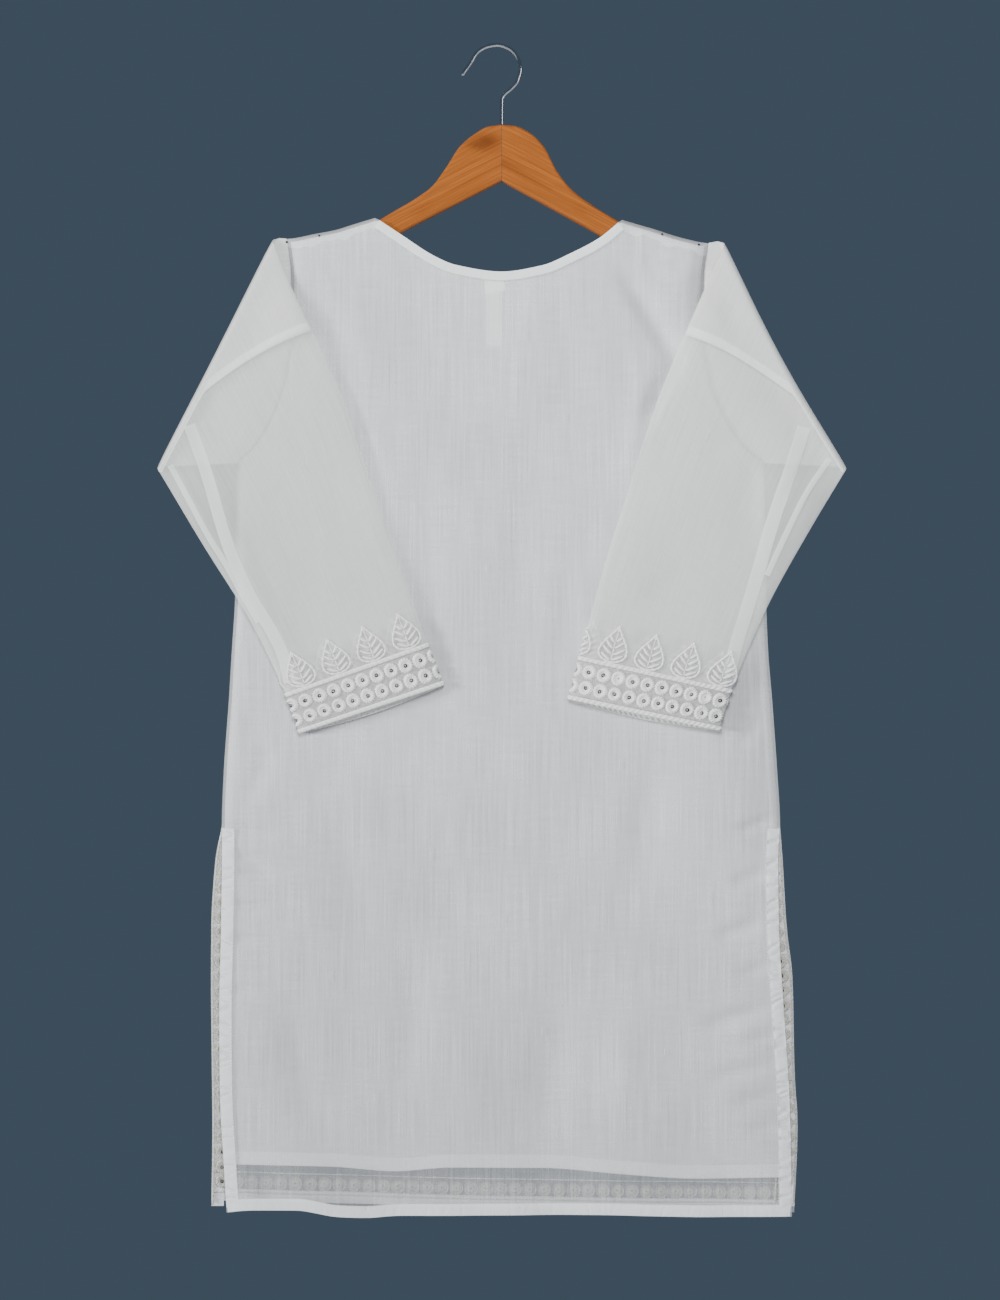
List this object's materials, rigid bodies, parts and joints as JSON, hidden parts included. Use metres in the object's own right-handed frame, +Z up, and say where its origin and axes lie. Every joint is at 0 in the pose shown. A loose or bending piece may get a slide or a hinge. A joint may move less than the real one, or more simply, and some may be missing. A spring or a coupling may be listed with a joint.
{
  "type": "kurta tunic on a wooden clothes hanger",
  "caption": "White lined kurta tunic hanging flat on a varnished wooden hanger, its sleeves folded over the back, with net cuff bands, side slits and a round neck.",
  "frame": {"origin": "inside top of the hanger's hook, where a rail or peg holds it up", "axes": "+Z up along the hanging garment, -Y out of the garment's back, +X to the right when facing the back"},
  "size_m": [0.6192, 0.0242, 1.0565],
  "materials": {
    "body_cloth": "sheer slubbed cotton silk",
    "sleeve_cloth": "sheer slubbed cotton silk",
    "lining_cloth": "plain soft cotton",
    "cuff_net": "embroidered net",
    "piping_cloth": "satin piping",
    "label_cloth": "blank woven tape",
    "hanger_wood": "gloss varnish",
    "hook_chrome": "polished"
  },
  "bodies": {
    "root": {"back_panel": "body_cloth", "front_panel": "body_cloth", "neck_facing_back": "lining_cloth", "neck_facing_front": "lining_cloth", "lining_back": "lining_cloth", "label": "label_cloth", "sleeve_left": "sleeve_cloth", "sleeve_right": "sleeve_cloth", "cuff_band_left": "cuff_net", "cuff_band_right": "cuff_net", "piping_upper_left": "piping_cloth", "piping_upper_right": "piping_cloth", "piping_lower_left": "piping_cloth", "piping_lower_right": "piping_cloth", "lining_sleeve_left": "lining_cloth", "lining_sleeve_right": "lining_cloth", "hanger_arm_left": "hanger_wood", "hanger_arm_right": "hanger_wood", "hook": "hook_chrome"}
  },
  "joints": []
}
